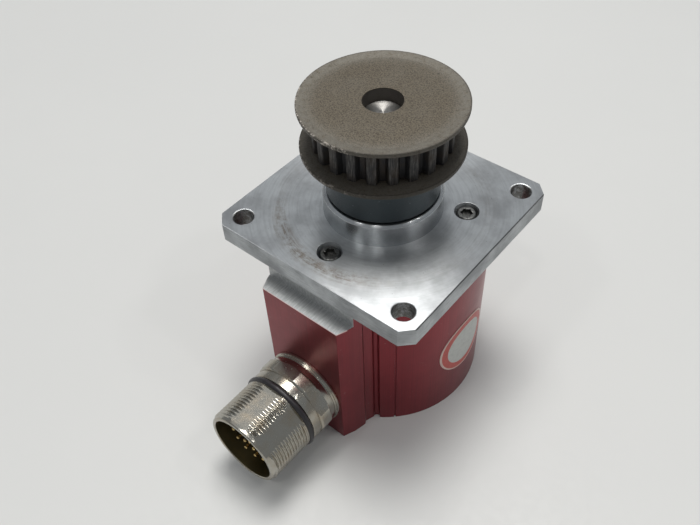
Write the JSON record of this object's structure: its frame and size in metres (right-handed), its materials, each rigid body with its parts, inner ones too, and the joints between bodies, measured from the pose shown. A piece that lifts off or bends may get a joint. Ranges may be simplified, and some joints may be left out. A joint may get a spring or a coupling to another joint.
{
  "type": "rotary encoder",
  "caption": "Flange-mounted rotary encoder: square plate with pilot, round red housing, toothed belt pulley on the shaft and a threaded circular connector at the side.",
  "frame": {"origin": "middle of the mounting face, where the shaft's axis crosses the plane of the square plate that meets the machine", "axes": "+Z out along the shaft towards the pulley, connector towards -Y, +X to the right seen from the connector side"},
  "size_m": [0.0636, 0.0934, 0.0923],
  "materials": {
    "flange_aluminium": "machined and turned",
    "carrier_aluminium": "machined",
    "housing_anodised": "dark red anodised, satin",
    "cover_aluminium": "grey anodised",
    "black_oxide_steel": "black oxide",
    "rim_steel": "phosphated, worn",
    "screw_steel": "dark oxide",
    "shaft_steel": "ground",
    "bearing_steel": "polished",
    "cage_brass": "satin",
    "spring_steel": "blued",
    "black_rubber": "satin",
    "nickel_plate": "nickel plated, turned",
    "post_brass": "plain",
    "board_green": "solder mask",
    "chip_black": "moulded",
    "capacitor_can": "sleeved can",
    "plug_plastic": "moulded",
    "disc_glass": "clear with chrome tracks",
    "lead_metal": "tinned",
    "insert_plastic": "moulded",
    "pin_gold": "gold plated",
    "ribbon_grey": "flat ribbon",
    "label_film": "printed film"
  },
  "bodies": {
    "encoder_body": {"bearing_carrier": "carrier_aluminium", "board_link": "plug_plastic", "carrier_retaining_ring": "spring_steel", "collimator_lens": "disc_glass", "connector_base_seal": "black_rubber", "connector_board": "board_green", "connector_insert": "insert_plastic", "connector_nut": "nickel_plate", "connector_ring": "black_rubber", "connector_shell": "nickel_plate", "contact_pins": "pin_gold", "flange_screws": "screw_steel", "front_bearing_outer_ring": "bearing_steel", "front_bearing_shields": "bearing_steel", "front_housing_seal": "black_rubber", "housing": "housing_anodised", "light_holder": "plug_plastic", "light_holder_screws": "screw_steel", "light_source": "chip_black", "light_source_leads": "lead_metal", "main_board": "board_green", "main_board_capacitors": "capacitor_can", "main_board_chips": "chip_black", "main_board_posts": "post_brass", "outer_spacer": "carrier_aluminium", "preload_spring": "spring_steel", "rear_bearing_outer_ring": "bearing_steel", "rear_bearing_shields": "bearing_steel", "rear_cover": "cover_aluminium", "rear_cover_gasket": "black_rubber", "rear_cover_posts": "post_brass", "rear_cover_screws": "screw_steel", "reticle": "disc_glass", "ribbon_cable": "ribbon_grey", "ribbon_header": "plug_plastic", "round_label": "label_film", "seal_spring": "spring_steel", "sensor_board": "board_green", "sensor_board_posts": "post_brass", "sensor_chip": "chip_black", "shaft_seal": "black_rubber", "square_flange": "flange_aluminium"},
    "rotor": {"shaft": "shaft_steel", "pulley": "black_oxide_steel", "pulley_top_rim": "rim_steel", "pulley_bottom_rim": "rim_steel", "pulley_set_screws": "screw_steel", "front_bearing_inner_ring": "bearing_steel", "rear_bearing_inner_ring": "bearing_steel", "inner_spacer": "carrier_aluminium", "shaft_retaining_ring": "spring_steel", "disc_hub": "carrier_aluminium", "disc_hub_set_screw": "screw_steel", "code_disc": "disc_glass", "disc_clamp_ring": "carrier_aluminium", "disc_clamp_screws": "screw_steel"},
    "front_ball_set": {"front_bearing_cage": "cage_brass", "front_bearing_balls": "bearing_steel"},
    "rear_ball_set": {"rear_bearing_cage": "cage_brass", "rear_bearing_balls": "bearing_steel"}
  },
  "joints": [
    {"name": "shaft_turn", "type": "hinge", "parent": "encoder_body", "child": "rotor", "pos_m": [0, 0, 0], "axis": [0, 0, 1], "continuous": true},
    {"name": "front_ball_turn", "type": "hinge", "parent": "encoder_body", "child": "front_ball_set", "pos_m": [0, 0, -0.0116], "axis": [0, 0, 1], "continuous": true},
    {"name": "rear_ball_turn", "type": "hinge", "parent": "encoder_body", "child": "rear_ball_set", "pos_m": [0, 0, -0.0236], "axis": [0, 0, 1], "continuous": true}
  ],
  "couplings": [
    {"joint": "front_ball_turn", "follows": "shaft_turn", "ratio": 0.36778},
    {"joint": "rear_ball_turn", "follows": "shaft_turn", "ratio": 0.36778}
  ]
}
